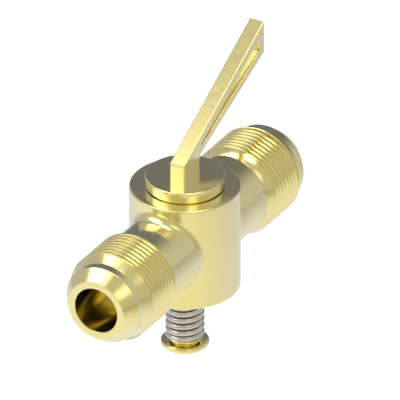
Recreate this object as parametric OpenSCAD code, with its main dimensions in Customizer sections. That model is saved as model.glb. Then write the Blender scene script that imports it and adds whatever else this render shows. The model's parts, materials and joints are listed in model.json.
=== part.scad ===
// Flare shut-off valve with a spring-loaded taper plug and a lever forged on the plug.
// The flow axis is X, the plug axis is Z, and they cross at the origin.
// The lever lies over the outlet, the end at +X, when the valve is open.

/* [Barrel] */
// Diameter of the upright barrel that holds the plug
barrel_d = 18.5; // [17:0.1:24]
// Height of the barrel's top face above the flow axis
barrel_above = 9.4; // [9:0.1:12]
// Depth of the barrel's bottom face below the flow axis
barrel_below = 9.3; // [9:0.1:12]
// Radius that rounds the barrel's top and bottom edges
barrel_edge_r = 0.25; // [0.1:0.05:0.6]
// Radius of the fillet between the barrel and each neck
fillet_r = 1.6; // [1:0.1:1.7]

/* [Flare ends] */
// Length from one flare face to the other
overall_length = 58.9; // [54:0.1:80]
// Diameter of the neck between barrel and thread
neck_d = 13.85; // [12:0.05:15]
// Outside diameter of the thread, 5/8 inch
thread_d = 15.875; // [15.4:0.005:17]
// Length of the full thread on each end
thread_length = 7.9; // [5:0.1:9]
// Angle of the chamfer that runs the thread out to the neck
run_out_angle = 45; // [30:1:60]
// Angle of the chamfer that leads onto the thread
lead_in_angle = 32.5; // [20:0.5:45]
// Diameter of the plain nose in front of the thread
nose_d = 13.85; // [12.5:0.05:15]
// Length of the plain nose
nose_length = 1.45; // [0.8:0.05:3]
// Angle between the flare seat and the flow axis
flare_angle = 37; // [33:0.5:47]
// Outside diameter of the flat ring round the bore
face_d = 10.6; // [10:0.1:11.5]

/* [Flow passage] */
// Diameter of the bore in each flare end
bore_d = 8; // [7.2:0.1:9]
// Depth of that bore from the flare face
bore_depth = 16.4; // [12:0.1:18]
// Diameter of the port through barrel and plug
port_d = 5; // [4:0.1:7]
// Angle between the bore's nearly flat floor and the flow axis
floor_angle = 85; // [59:1:88]

/* [Plug] */
// Diameter of the taper at the barrel's top face
taper_d = 12.4; // [12:0.1:12.8]
// Angle between the taper and the plug axis
taper_angle = 3.6; // [2:0.1:5]
// Radial running clearance between plug and seat
seat_clearance = 0.03; // [0.01:0.01:0.08]
// Distance by which the taper stops short of the barrel's bottom face
taper_short = 0.5; // [0.2:0.1:1.5]
// Diameter of the head above the barrel
head_d = 13.3; // [12.9:0.1:16]
// Height of the head
head_h = 1.75; // [1:0.05:3]
// Gap between the head and the barrel's top face
head_gap = 0.2; // [0.1:0.05:0.5]
// Radius that rounds the head's top edge
head_edge_r = 0.25; // [0.1:0.05:0.5]

/* [Lever] */
// Thickness of the post and of the lever arm
lever_t = 2.75; // [2.2:0.05:4]
// Width of the post along the flow axis
post_w = 5.15; // [4:0.05:7]
// Height of the bend above the head, on the post's outer edge
bend_h = 3.1; // [2.8:0.05:6]
// Height above the head at which the arm's underside leaves the post
crook_h = 2.6; // [1.6:0.05:2.7]
// Angle of the arm's top edge above the horizontal
lever_angle = 28.7; // [10:0.1:45]
// Distance from the plug axis to the lever's tip
lever_reach = 23.9; // [18:0.1:40]
// Depth of the upright end face at the tip
tip_depth = 5.8; // [4.8:0.1:8]
// Depth of the recess in each side of the arm
recess_depth = 0.7; // [0.3:0.02:0.95]
// Width of the rim left round the recess
rim_w = 1.5; // [0.8:0.05:1.6]
// Width to which the lower rim narrows at the post
rim_root_w = 1.15; // [0.8:0.05:1.3]
// Height of the recess where it starts near the post
recess_root_h = 0.4; // [0.2:0.05:1]

/* [Tail and spring] */
// Diameter of the tail that carries the spring
tail_d = 4; // [3.6:0.1:4.4]
// Distance across the two flats of the tail
tail_flats = 3.3; // [3.2:0.1:3.5]
// Width of the ring on which the washer bears, outside the seat's lower mouth
washer_land = 1.2; // [0.8:0.1:2]
// Thickness of the washer
washer_t = 0.8; // [0.5:0.05:1.5]
// Clearance between the washer's hole and the tail
washer_clearance = 0.1; // [0.05:0.05:0.2]
// Gap that lets the washer turn against the barrel
washer_gap = 0.02; // [0.02:0.01:0.1]
// Outside diameter of the spring
spring_d = 6.65; // [6.5:0.05:8]
// Diameter of the spring wire
wire_d = 1; // [0.6:0.02:1.1]
// Height of the spring as fitted
spring_h = 9; // [7:0.1:14]
// Rise of an open coil in one turn
coil_pitch = 1.2; // [1.1:0.05:2]
// Gap between the closed coils at each end
closed_gap = 0.04; // [0.03:0.01:0.1]

/* [Retainer] */
// Diameter of the collar on which the spring sits
collar_d = 6; // [5.8:0.05:7]
// Thickness of the collar
collar_t = 0.3; // [0.2:0.05:0.5]
// Diameter of the groove between collar and flange
groove_d = 4.4; // [4:0.1:5]
// Width of the groove
groove_w = 0.5; // [0.3:0.05:1.5]
// Diameter of the flange below the collar
flange_d = 8.1; // [7.4:0.05:10]
// Thickness of the flange
flange_t = 0.9; // [0.6:0.05:2]
// Radius that rounds the flange's edges
flange_edge_r = 0.3; // [0.1:0.05:0.3]
// Diameter of the spigot that passes through the retainer
spigot_d = 2.6; // [2:0.1:3]
// Clearance between the spigot and the retainer
spigot_clearance = 0.02; // [0.02:0.01:0.05]
// Depth of the countersink that takes the riveted end
rivet_depth = 0.7; // [0.4:0.05:0.9]
// Height by which the riveted end stands out below the flange
rivet_crown = 0.2; // [0.1:0.05:0.5]

/* [Hidden] */
$fn = 96;

// Length by which a cut runs past the surface that it opens
over = 1;

// Heights of the faces along the plug axis, from the top down
head_top_z = barrel_above + head_gap + head_h;
bend_z = head_top_z + bend_h;
crook_z = head_top_z + crook_h;
taper_end_z = -barrel_below + taper_short;
washer_top_z = -barrel_below - washer_gap;
spring_top_z = washer_top_z - washer_t;
collar_top_z = spring_top_z - spring_h;
flange_top_z = collar_top_z - collar_t - groove_w;
flange_bottom_z = flange_top_z - flange_t;

// Radius of the seat at a height on the plug axis, and of the plug that runs in it
function seat_r(z) = taper_d / 2 - (barrel_above - z) * tan(taper_angle);
function plug_r(z) = seat_r(z) - seat_clearance;

// Flare end, measured back from its face
cone_length = (nose_d - face_d) / 2 / tan(flare_angle);
lead_in_length = (thread_d - nose_d) / 2 / tan(lead_in_angle);
run_out_length = (thread_d - neck_d) / 2 / tan(run_out_angle);
nose_front = overall_length / 2 - cone_length;
nose_back = nose_front - nose_length;
thread_front = nose_back - lead_in_length;
thread_back = thread_front - thread_length;
neck_front = thread_back - run_out_length;

// Flow passage, measured from the plug axis
bore_start = overall_length / 2 - bore_depth;
step_length = (bore_d - port_d) / 2 / tan(floor_angle);

// Lever arm in the plane of the flow, heights of its edges over the distance x from the plug axis
tip_under_z = bend_z + (lever_reach + post_w / 2) * tan(lever_angle) - tip_depth;
under_slope = (tip_under_z - crook_z) / (lever_reach - post_w / 2);
rim_growth = (rim_w - rim_root_w) / (lever_reach - post_w / 2);
function arm_top(x) = bend_z + (x + post_w / 2) * tan(lever_angle);
function arm_under(x) = crook_z + (x - post_w / 2) * under_slope;
function recess_top(x) = arm_top(x) - rim_w / cos(lever_angle);
function lower_rim_w(x) = rim_root_w + rim_growth * (x - post_w / 2);
function recess_under(x) = arm_under(x) + lower_rim_w(x) / cos(atan(under_slope));

// The recess starts where the arm is deep enough for it, past the post
recess_growth = tan(lever_angle) - under_slope - rim_growth / cos(atan(under_slope));
recess_h_at_post = recess_top(post_w / 2) - recess_under(post_w / 2);
recess_start = post_w / 2 + max(0, (recess_root_h - recess_h_at_post) / recess_growth);
recess_end = lever_reach - rim_w;

// Spring wire as a sweep of rings along a right-hand helix, with closed and ground ends
wire_sides = 10;
rings_per_turn = 18;
spring_start_angle = 30;
closed_pitch = wire_d + closed_gap;
open_turns = (spring_h - 2 * closed_pitch) / coil_pitch;
spring_turns = open_turns + 2;
ring_count = ceil(spring_turns * rings_per_turn);
coil_r = (spring_d - wire_d) / 2;

function clamp(value, low, high) = max(low, min(high, value));
function wire_z(turn) =
    closed_pitch * (clamp(turn, 0, 1) + clamp(turn - 1 - open_turns, 0, 1))
    + coil_pitch * clamp(turn - 1, 0, open_turns);
function wire_point(turn, side) =
    let (angle = spring_start_angle + 360 * turn)
    let (around = 90 + 360 * side / wire_sides)
    let (r = coil_r + wire_d / 2 * cos(around))
    let (z = clamp(wire_z(turn) + wire_d / 2 * sin(around), 0, spring_h))
    [r * cos(angle), r * sin(angle), z];

// Fillet that a ball leaves as it rolls round the corner between neck and barrel, sunk a hair into both
fillet_columns = 72;
fillet_steps = 6;
fillet_sink = 0.02;
ball_from_flow = neck_d / 2 + fillet_r;
ball_from_plug = barrel_d / 2 + fillet_r;
function ball(turn) =
    let (y = ball_from_flow * cos(turn))
    [sqrt(ball_from_plug ^ 2 - y ^ 2), y, ball_from_flow * sin(turn)];
function fillet_point(turn, share) =
    let (centre = ball(turn))
    let (to_neck = [0, -cos(turn), -sin(turn)])
    let (to_barrel = [-centre.x, -centre.y, 0] / ball_from_plug)
    let (sweep = acos(to_neck * to_barrel))
    let (arm = to_neck * sin((1 - share) * sweep) + to_barrel * sin(share * sweep))
    centre + arm * (fillet_r + fillet_sink) / sin(sweep);
function fillet_root(turn) =
    let (deep = neck_d / 2 - fillet_r)
    [ball(turn).x - 2 * fillet_r, deep * cos(turn), deep * sin(turn)];

washer_d = 2 * seat_r(-barrel_below) + 2 * washer_land;
rivet_r = spigot_d / 2 + rivet_depth;

// Disc on the Z axis from z = 0 up, with its top edge rounded and its bottom edge too when both is true
module rounded_disc(r, h, edge_r, both) {
    foot = both ? edge_r : 0;
    rotate_extrude() {
        square([r - edge_r, h]);
        translate([0, foot])
            square([r, h - edge_r - foot]);
        translate([r - edge_r, h - edge_r])
            circle(edge_r);
        if (both)
            translate([r - edge_r, edge_r])
                circle(edge_r);
    }
}

// One flare end as a turning about the X axis, from the plug axis out to its face at +X
module flare_end() {
    rotate([0, 90, 0])
        rotate_extrude()
            polygon([
                [0, 0],
                [neck_d / 2, 0],
                [neck_d / 2, neck_front],
                [thread_d / 2, thread_back],
                [thread_d / 2, thread_front],
                [nose_d / 2, nose_back],
                [nose_d / 2, nose_front],
                [face_d / 2, overall_length / 2],
                [0, overall_length / 2]
            ]);
}

// Fillet round one neck, as a closed ring with its root inside the metal
module neck_fillet() {
    sides = fillet_steps + 2;
    points = [
        for (column = [0:fillet_columns - 1], side = [0:sides - 1])
            let (turn = 360 * column / fillet_columns)
            side <= fillet_steps ? fillet_point(turn, side / fillet_steps) : fillet_root(turn)
    ];
    count = len(points);
    faces = [
        for (column = [0:fillet_columns - 1], side = [0:sides - 1])
            let (near = column * sides)
            let (far = near + sides)
            let (next = (side + 1) % sides)
            each [
                [near + side, (far + side) % count, near + next],
                [near + next, (far + side) % count, (far + next) % count]
            ]
    ];
    polyhedron(points = points, faces = faces);
}

// Bore of one flare end and its floor, which the port opens
module end_bore() {
    rotate([0, 90, 0])
        rotate_extrude()
            polygon([
                [0, bore_start - step_length],
                [port_d / 2, bore_start - step_length],
                [bore_d / 2, bore_start],
                [bore_d / 2, overall_length / 2 + over],
                [0, overall_length / 2 + over]
            ]);
}

module port() {
    rotate([0, 90, 0])
        cylinder(d = port_d, h = 2 * bore_start, center = true);
}

// Taper seat, cut past both faces of the barrel
module seat() {
    low = -barrel_below - over;
    high = barrel_above + over;
    translate([0, 0, low])
        cylinder(r1 = seat_r(low), r2 = seat_r(high), h = high - low);
}

module valve_body() {
    color("#d9cb86")
        difference() {
            union() {
                translate([0, 0, -barrel_below])
                    rounded_disc(barrel_d / 2, barrel_above + barrel_below, barrel_edge_r, true);
                for (side = [0, 180])
                    rotate([0, 0, side]) {
                        flare_end();
                        neck_fillet();
                    }
            }
            seat();
            port();
            for (side = [0, 180])
                rotate([0, 0, side])
                    end_bore();
        }
}

// Round part of the plug below its head: the taper, the tail, the spigot and its riveted end
module plug_turning() {
    rotate_extrude()
        polygon([
            [0, barrel_above + head_gap + head_h / 2],
            [plug_r(barrel_above), barrel_above + head_gap + head_h / 2],
            [plug_r(barrel_above), barrel_above],
            [plug_r(taper_end_z), taper_end_z],
            [tail_d / 2, taper_end_z],
            [tail_d / 2, collar_top_z],
            [spigot_d / 2, collar_top_z],
            [spigot_d / 2, flange_bottom_z + rivet_depth],
            [rivet_r, flange_bottom_z],
            [rivet_r - rivet_crown, flange_bottom_z - rivet_crown],
            [0, flange_bottom_z - rivet_crown]
        ]);
}

// Side view of the post and the arm, in the X Z plane
module lever_outline() {
    polygon([
        [-post_w / 2, head_top_z - head_h / 2],
        [post_w / 2, head_top_z - head_h / 2],
        [post_w / 2, crook_z],
        [lever_reach, tip_under_z],
        [lever_reach, arm_top(lever_reach)],
        [-post_w / 2, bend_z]
    ]);
}

module recess_outline() {
    polygon([
        [recess_start, recess_under(recess_start)],
        [recess_end, recess_under(recess_end)],
        [recess_end, recess_top(recess_end)],
        [recess_start, recess_top(recess_start)]
    ]);
}

module lever() {
    difference() {
        rotate([90, 0, 0])
            linear_extrude(height = lever_t, center = true)
                lever_outline();
        for (side = [-1, 1])
            translate([0, side * lever_t / 2, 0])
                rotate([90, 0, 0])
                    linear_extrude(height = 2 * recess_depth, center = true)
                        recess_outline();
    }
}

// Block that stands outside one flat of the tail, between the taper and the spigot
module flat_cut() {
    tail_length = taper_end_z - collar_top_z;
    translate([-tail_d, tail_flats / 2, collar_top_z])
        cube([2 * tail_d, tail_d, tail_length]);
}

module plug() {
    color("#dccd7f")
        difference() {
            union() {
                translate([0, 0, barrel_above + head_gap])
                    rounded_disc(head_d / 2, head_h, head_edge_r, false);
                plug_turning();
                lever();
            }
            port();
            for (side = [0, 180])
                rotate([0, 0, side])
                    flat_cut();
        }
}

// Washer whose hole follows the flats of the tail, so that it turns with the plug
module spring_washer() {
    color("#cbbd78")
        translate([0, 0, spring_top_z])
            difference() {
                cylinder(d = washer_d, h = washer_t);
                translate([0, 0, -over])
                    intersection() {
                        cylinder(d = tail_d + 2 * washer_clearance, h = washer_t + 2 * over);
                        translate([-tail_d, -tail_flats / 2 - washer_clearance, 0])
                            cube([2 * tail_d, tail_flats + 2 * washer_clearance, washer_t + 2 * over]);
                    }
            }
}

module spring() {
    points = [
        for (ring = [0:ring_count], side = [0:wire_sides - 1])
            wire_point(spring_turns * ring / ring_count, side)
    ];
    last = ring_count * wire_sides;
    walls = [
        for (ring = [0:ring_count - 1], side = [0:wire_sides - 1])
            let (near = ring * wire_sides)
            let (next = (side + 1) % wire_sides)
            each [
                [near + side, near + wire_sides + side, near + next],
                [near + next, near + wire_sides + side, near + wire_sides + next]
            ]
    ];
    caps = [
        for (side = [1:wire_sides - 2])
            each [
                [0, side, side + 1],
                [last + wire_sides / 2, last + (wire_sides / 2 + side + 1) % wire_sides,
                    last + (wire_sides / 2 + side) % wire_sides]
            ]
    ];
    color("#b4b1ac")
        translate([0, 0, collar_top_z])
            polyhedron(points = points, faces = concat(walls, caps));
}

// Collar, groove and flange, bored for the spigot and countersunk below for the riveted end
module spring_retainer() {
    hole_r = spigot_d / 2 + spigot_clearance;
    height = collar_top_z - flange_bottom_z;
    color("#d6c87c")
        difference() {
            union() {
                translate([0, 0, flange_bottom_z])
                    rounded_disc(flange_d / 2, flange_t, flange_edge_r, true);
                translate([0, 0, flange_top_z - flange_t / 2])
                    cylinder(d = groove_d, h = flange_t / 2 + groove_w + collar_t / 2);
                translate([0, 0, collar_top_z - collar_t])
                    cylinder(d = collar_d, h = collar_t);
            }
            translate([0, 0, flange_bottom_z - over])
                cylinder(r = hole_r, h = height + 2 * over);
            translate([0, 0, flange_bottom_z - over])
                cylinder(r1 = hole_r + rivet_depth + over, r2 = hole_r, h = rivet_depth + over);
        }
}

valve_body();
plug();
spring_washer();
spring();
spring_retainer();
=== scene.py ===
"""Looks of a flare shut-off valve: a turned brass body, a forged lever plug and a spring-loaded tail.

Lengths are millimetres in the valve's own frame and become metres where a mesh is made. The flow axis is
X, the plug axis is Z, and they cross at the origin.
"""

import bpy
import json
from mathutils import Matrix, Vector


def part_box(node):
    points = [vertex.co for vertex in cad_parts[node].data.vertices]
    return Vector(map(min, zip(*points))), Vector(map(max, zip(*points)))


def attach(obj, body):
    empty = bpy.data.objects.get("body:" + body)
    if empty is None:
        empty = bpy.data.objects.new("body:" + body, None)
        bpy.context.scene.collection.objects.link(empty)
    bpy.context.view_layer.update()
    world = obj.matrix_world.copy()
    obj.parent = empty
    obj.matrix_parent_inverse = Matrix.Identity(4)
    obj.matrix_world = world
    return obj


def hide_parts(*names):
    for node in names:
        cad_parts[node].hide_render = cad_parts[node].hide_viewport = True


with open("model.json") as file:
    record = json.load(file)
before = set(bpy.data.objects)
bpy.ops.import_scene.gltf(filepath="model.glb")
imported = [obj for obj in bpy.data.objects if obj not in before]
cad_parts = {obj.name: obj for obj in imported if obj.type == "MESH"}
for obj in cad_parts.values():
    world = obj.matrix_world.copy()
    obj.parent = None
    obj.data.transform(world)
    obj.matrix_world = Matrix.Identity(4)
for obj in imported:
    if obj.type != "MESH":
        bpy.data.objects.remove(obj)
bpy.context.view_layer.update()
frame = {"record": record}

import json
import logging
from collections.abc import Callable, Sequence
from dataclasses import dataclass, field
from enum import Enum
from math import acos, atan, atan2, ceil, cos, pi, radians, sin, sqrt, tan
from typing import Any

import bmesh
import bpy
from mathutils import Quaternion, Vector

log = logging.getLogger("valve")

MM = 0.001
WELD = 0.0005
COLUMNS = 192
QUARTER = COLUMNS // 4
SMOOTH_LIMIT = radians(48)
NOISE_LOW = 0.3
NOISE_HIGH = 0.7
MIX_FIRST = 6
MIX_SECOND = 7
MIX_RESULT = 2

Row = list[Vector]
Outline = list[tuple[float, float]]
Tone = tuple[float, float, float]


class End(Enum):
    """The two flare ends, by the sign of X at which they stand."""

    INLET = -1
    OUTLET = 1


class Marks(Enum):
    """How the tool marks of a brass surface run."""

    TURNED_ROUND_FLOW = "turned round the flow axis, and round the plug axis near it"
    TURNED_ROUND_PLUG = "turned round the plug axis"
    POLISHED = "polished on a wheel"


@dataclass(frozen=True)
class Corner:
    """Corner of an outline in millimetres, with the radius that rounds it."""

    across: float
    along: float
    radius: float = 0.0


def on_arc(first: Vector, last: Vector, sweep: float, share: float) -> Vector:
    """Radius of an arc, some share of the way from its first radius to its last."""
    return (first * sin((1 - share) * sweep) + last * sin(share * sweep)) / sin(sweep)


def rounded(corners: Sequence[Corner], closed: bool = False, steps: int = 4) -> Outline:
    """Replaces each corner of an outline by an arc.

    Args:
        corners: The corners in order.
        closed: Whether the last corner joins the first.
        steps: Segments in each arc.

    Returns:
        The points of the rounded outline.
    """
    points: Outline = []
    count = len(corners)
    for index, corner in enumerate(corners):
        here = Vector((corner.across, corner.along))
        at_end = not closed and index in (0, count - 1)
        if corner.radius == 0 or at_end:
            points.append((here.x, here.y))
            continue
        before = corners[index - 1]
        after = corners[(index + 1) % count]
        back = (Vector((before.across, before.along)) - here).normalized()
        ahead = (Vector((after.across, after.along)) - here).normalized()
        half = acos(max(-1.0, min(1.0, back.dot(ahead)))) / 2
        centre = here + (back + ahead).normalized() * (corner.radius / sin(half))
        first = here + back * (corner.radius / tan(half)) - centre
        last = here + ahead * (corner.radius / tan(half)) - centre
        sweep = pi - 2 * half
        for step in range(steps + 1):
            arm = on_arc(first, last, sweep, step / steps)
            points.append((centre.x + arm.x, centre.y + arm.y))
    return points


class Skin:
    """Closed surface put together from strips of points in millimetres."""

    def __init__(self) -> None:
        """Starts an empty surface."""
        self.mesh = bmesh.new()

    def strip(self, rows: Sequence[Row], around: bool = True) -> None:
        """Adds the faces between neighbouring rows.

        Args:
            rows: Rows of equally many points.
            around: Whether each row closes on itself.
        """
        placed = [[self.mesh.verts.new(point * MM) for point in row] for row in rows]
        for near, far in zip(placed, placed[1:]):
            count = len(near)
            for here in range(count if around else count - 1):
                after = (here + 1) % count
                self.mesh.faces.new((near[here], near[after], far[after], far[here]))

    def take(self, mesh: bpy.types.Mesh, half_turn: bool = False) -> None:
        """Adds a finished mesh, turned half round the plug axis where asked.

        Args:
            mesh: Mesh in metres, deleted once it is taken.
            half_turn: Whether X and Y change sign.
        """
        known = len(self.mesh.verts)
        self.mesh.from_mesh(mesh)
        self.mesh.verts.ensure_lookup_table()
        if half_turn:
            for vertex in self.mesh.verts[known:]:
                vertex.co = (-vertex.co.x, -vertex.co.y, vertex.co.z)
        bpy.data.meshes.remove(mesh)

    def close(self, name: str) -> bpy.types.Object:
        """Welds the strips, turns the faces outwards and gives the surface an object.

        Args:
            name: Name of the object.

        Returns:
            The object, at the origin.
        """
        bmesh.ops.remove_doubles(self.mesh, verts=self.mesh.verts, dist=WELD * MM)
        loose = [vertex for vertex in self.mesh.verts if not vertex.link_faces]
        bmesh.ops.delete(self.mesh, geom=loose, context="VERTS")
        return finished_object(self.mesh, name)


def finished_object(mesh: bmesh.types.BMesh, name: str) -> bpy.types.Object:
    """Turns a closed bmesh into an object with smooth faces and crisp sharp edges.

    Args:
        mesh: The surface, freed afterwards.
        name: Name of the object.

    Returns:
        The object, linked to the scene.
    """
    bmesh.ops.recalc_face_normals(mesh, faces=mesh.faces)
    for face in mesh.faces:
        face.smooth = True
    for edge in mesh.edges:
        edge.smooth = edge.calc_face_angle(0) < SMOOTH_LIMIT
    data = bpy.data.meshes.new(name)
    mesh.to_mesh(data)
    mesh.free()
    made = bpy.data.objects.new(name, data)
    bpy.context.scene.collection.objects.link(made)
    return made


def applied(piece: bpy.types.Object) -> bpy.types.Mesh:
    """Plain mesh that an object's modifiers give."""
    depsgraph = bpy.context.evaluated_depsgraph_get()
    return bpy.data.meshes.new_from_object(piece.evaluated_get(depsgraph), depsgraph=depsgraph)


def weight_normals(piece: bpy.types.Object) -> None:
    """Keeps large flat faces flat in shading beside their rounded edges.

    Args:
        piece: Object with smooth faces, which gets custom normals in its mesh.
    """
    modifier = piece.modifiers.new("weighted normals", "WEIGHTED_NORMAL")
    modifier.keep_sharp = True
    mesh = applied(piece)
    piece.modifiers.remove(modifier)
    old = piece.data
    piece.data = mesh
    mesh.name = piece.name
    bpy.data.meshes.remove(old)


def dressed(piece: bpy.types.Object, material: bpy.types.Material) -> bpy.types.Object:
    """Gives a piece weighted normals and one material, whatever it carried before.

    Args:
        piece: Object with smooth faces.
        material: Its finish.

    Returns:
        The same object, finished.
    """
    weight_normals(piece)
    piece.data.materials.clear()
    piece.data.materials.append(material)
    return piece


def ring_round_flow(along: float, radius: float) -> Row:
    """Ring of points round the flow axis, one for each column."""
    turns = [2 * pi * column / COLUMNS for column in range(COLUMNS)]
    return [Vector((along, radius * cos(turn), radius * sin(turn))) for turn in turns]


def hole_edge(hole_r: float, wall_r: Callable[[float], float]) -> Row:
    """Outlet-side edge of a hole about the flow axis in a wall round the plug axis."""
    ring = ring_round_flow(0, hole_r)
    return [Vector((sqrt(wall_r(point.z) ** 2 - point.y**2), point.y, point.z)) for point in ring]


def ring_round_plug(radius: float, height: float, columns: int, flats: float | None = None) -> Row:
    """Points of a ring round the plug axis, cut by two flats where asked.

    Args:
        radius: Radius of the ring.
        height: Height of the ring.
        columns: Number of points.
        flats: Distance across the two flats.

    Returns:
        One point for each column.
    """
    points = []
    for column in range(columns):
        turn = 2 * pi * column / columns
        side = radius * sin(turn)
        if flats is not None:
            side = max(-flats / 2, min(flats / 2, side))
        points.append(Vector((radius * cos(turn), side, height)))
    return points


def half_turned(rows: Sequence[Row], end: End) -> list[Row]:
    """Rows made for the outlet, turned half round the plug axis for the inlet."""
    sign = end.value
    return [[Vector((sign * point.x, sign * point.y, point.z)) for point in row] for row in rows]


@dataclass(frozen=True)
class PiercedWall:
    """Half of a wall that is round about the plug axis, pierced by a hole about the flow axis.

    The wall runs from one height to another and a quarter turn to either side of +X. Its columns start
    at the hole, as many as the hole has points, and end on the border of that half. A quarter of them
    ends on each of the border's four sides.
    """

    low: float
    high: float
    radius_at: Callable[[float], float]
    rows: int = 14

    def border(self, column: int) -> tuple[float, float]:
        """Turn and height at which a column meets the border.

        Args:
            column: Number of the column, from the one at +Y upwards.

        Returns:
            The turn from +X and the height.
        """
        place = (column + QUARTER / 2) / QUARTER % 4
        side, share = int(place), place % 1
        rise = self.high - self.low
        if side == 0:
            return pi / 2, self.low + rise * share
        if side == 1:
            return pi / 2 - pi * share, self.high
        if side == 2:
            return -pi / 2, self.high - rise * share
        return -pi / 2 + pi * share, self.low

    def between(self, hole: Row) -> list[Row]:
        """Rows of the wall from its hole to its border.

        Args:
            hole: Points of the hole's edge, on the wall.

        Returns:
            The rows, the hole's own first.
        """
        rows = [[] for _ in range(self.rows + 1)]
        for column, point in enumerate(hole):
            turn, height = atan2(point.y, point.x), point.z
            border_turn, border_height = self.border(column)
            for number, row in enumerate(rows):
                share = number / self.rows
                z = height + (border_height - height) * share
                angle = turn + (border_turn - turn) * share
                radius = self.radius_at(z)
                row.append(Vector((radius * cos(angle), radius * sin(angle), z)))
        return rows

    def turns_on_edge(self, upper: bool) -> list[float]:
        """Turns at which the columns meet the top or the bottom edge.

        Args:
            upper: True for the top edge.

        Returns:
            The turns from +X, in the order of the columns.
        """
        first = QUARTER // 2 if upper else QUARTER // 2 + 2 * QUARTER
        last_turn = -pi / 2 if upper else pi / 2
        return [self.border(column)[0] for column in range(first, first + QUARTER)] + [last_turn]

    def cap(self, outline: Outline, upper: bool) -> list[Row]:
        """Half of a turned cap that goes on from the top or the bottom edge.

        Args:
            outline: Radii and heights of the cap, from the wall on.
            upper: True for the top edge.

        Returns:
            The open rows of the cap.
        """
        turns = self.turns_on_edge(upper)
        rows = []
        for radius, z in outline:
            rows.append([Vector((radius * cos(turn), radius * sin(turn), z)) for turn in turns])
        return rows


@dataclass(frozen=True)
class Graph:
    """Node tree with short calls for the arithmetic that shapes and finishes need."""

    tree: bpy.types.NodeTree

    def node(self, kind: str, **settings: object) -> bpy.types.Node:
        """Adds a node.

        Args:
            kind: Blender's name for the node.
            **settings: Properties of the node.

        Returns:
            The node.
        """
        made = self.tree.nodes.new(kind)
        for name, value in settings.items():
            setattr(made, name, value)
        return made

    def feed(self, target: bpy.types.NodeSocket, value: object) -> None:
        """Links a wire to an input, or sets the input to a plain value.

        Args:
            target: The input.
            value: A Wire, an output or a value.
        """
        if isinstance(value, Wire):
            value = value.socket
        if isinstance(value, bpy.types.NodeSocket):
            self.tree.links.new(value, target)
        else:
            target.default_value = value

    def wire(
        self, kind: str, inputs: dict[str, object], output: int | str = 0, **settings: object
    ) -> "Wire":
        """Adds a node, feeds it and gives one of its outputs.

        Args:
            kind: Blender's name for the node.
            inputs: Values by the input's name.
            output: Name or number of the output.
            **settings: Properties of the node.

        Returns:
            That output.
        """
        made = self.node(kind, **settings)
        for name, value in inputs.items():
            self.feed(made.inputs[name], value)
        return Wire(self, made.outputs[output])

    def math(self, operation: str, *values: object) -> "Wire":
        """Adds a Math node.

        Args:
            operation: What it does.
            *values: Its inputs.

        Returns:
            Its result.
        """
        made = self.node("ShaderNodeMath", operation=operation)
        for target, value in zip(made.inputs, values):
            self.feed(target, value)
        return Wire(self, made.outputs[0])

    def hypotenuse(self, one: "Wire", other: "Wire") -> "Wire":
        """Length of two legs at a right angle."""
        return self.math("SQRT", one * one + other * other)

    def place(self) -> "Wire":
        """Surface point in the piece's own frame."""
        return Wire(self, self.node("ShaderNodeTexCoord").outputs["Object"])

    def noise(self, place: "Wire", scale: float, detail: float) -> "Wire":
        """Soft random values about one half, read at a place."""
        inputs = {"Vector": place, "Scale": scale, "Detail": detail}
        return self.wire("ShaderNodeTexNoise", inputs, "Fac")

    def blended(self, share: "Wire", first: Tone, second: Tone) -> "Wire":
        """Blend of two tones.

        Args:
            share: Share of the second.
            first: One tone.
            second: The other.

        Returns:
            The colour.
        """
        made = self.node("ShaderNodeMix", data_type="RGBA")
        self.feed(made.inputs["Factor"], share)
        made.inputs[MIX_FIRST].default_value = (*first, 1)
        made.inputs[MIX_SECOND].default_value = (*second, 1)
        return Wire(self, made.outputs[MIX_RESULT])

    def parts(self, vector: "Wire") -> tuple["Wire", "Wire", "Wire"]:
        """Splits a vector.

        Args:
            vector: The vector.

        Returns:
            Its X, Y and Z.
        """
        made = self.node("ShaderNodeSeparateXYZ")
        self.feed(made.inputs[0], vector)
        return Wire(self, made.outputs[0]), Wire(self, made.outputs[1]), Wire(self, made.outputs[2])

    def vector(self, x: object, y: object, z: object) -> "Wire":
        """Joins X, Y and Z into a vector."""
        return self.wire("ShaderNodeCombineXYZ", {"X": x, "Y": y, "Z": z})

    def ramp(
        self, value: object, start: object, stop: object, low: float, high: float, smooth: bool
    ) -> "Wire":
        """Maps a value from one range to another and holds it there.

        Args:
            value: The value.
            start: Value that gives low.
            stop: Value that gives high.
            low: Result at the start.
            high: Result at the stop.
            smooth: Whether the ramp eases in and out.

        Returns:
            The mapped value.
        """
        kind = "SMOOTHSTEP" if smooth else "LINEAR"
        inputs = {"Value": value, "From Min": start, "From Max": stop, "To Min": low, "To Max": high}
        return self.wire("ShaderNodeMapRange", inputs, interpolation_type=kind, clamp=True)


@dataclass(frozen=True)
class Wire:
    """Output of a node, on which plain arithmetic adds further nodes."""

    graph: Graph
    socket: bpy.types.NodeSocket

    def __add__(self, other: object) -> "Wire":
        """Sum."""
        return self.graph.math("ADD", self, other)

    def __sub__(self, other: object) -> "Wire":
        """Difference."""
        return self.graph.math("SUBTRACT", self, other)

    def __mul__(self, other: object) -> "Wire":
        """Product."""
        return self.graph.math("MULTIPLY", self, other)

    def __truediv__(self, other: object) -> "Wire":
        """Quotient."""
        return self.graph.math("DIVIDE", self, other)

    def at_least(self, other: object) -> "Wire":
        """The larger of the two."""
        return self.graph.math("MAXIMUM", self, other)

    def at_most(self, other: object) -> "Wire":
        """The smaller of the two."""
        return self.graph.math("MINIMUM", self, other)

    def held(self, low: object, high: object) -> "Wire":
        """The value, held between two others."""
        return self.at_least(low).at_most(high)

    def cosine(self) -> "Wire":
        """Cosine of the value in radians."""
        return self.graph.math("COSINE", self)

    def sine(self) -> "Wire":
        """Sine of the value in radians."""
        return self.graph.math("SINE", self)


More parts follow.
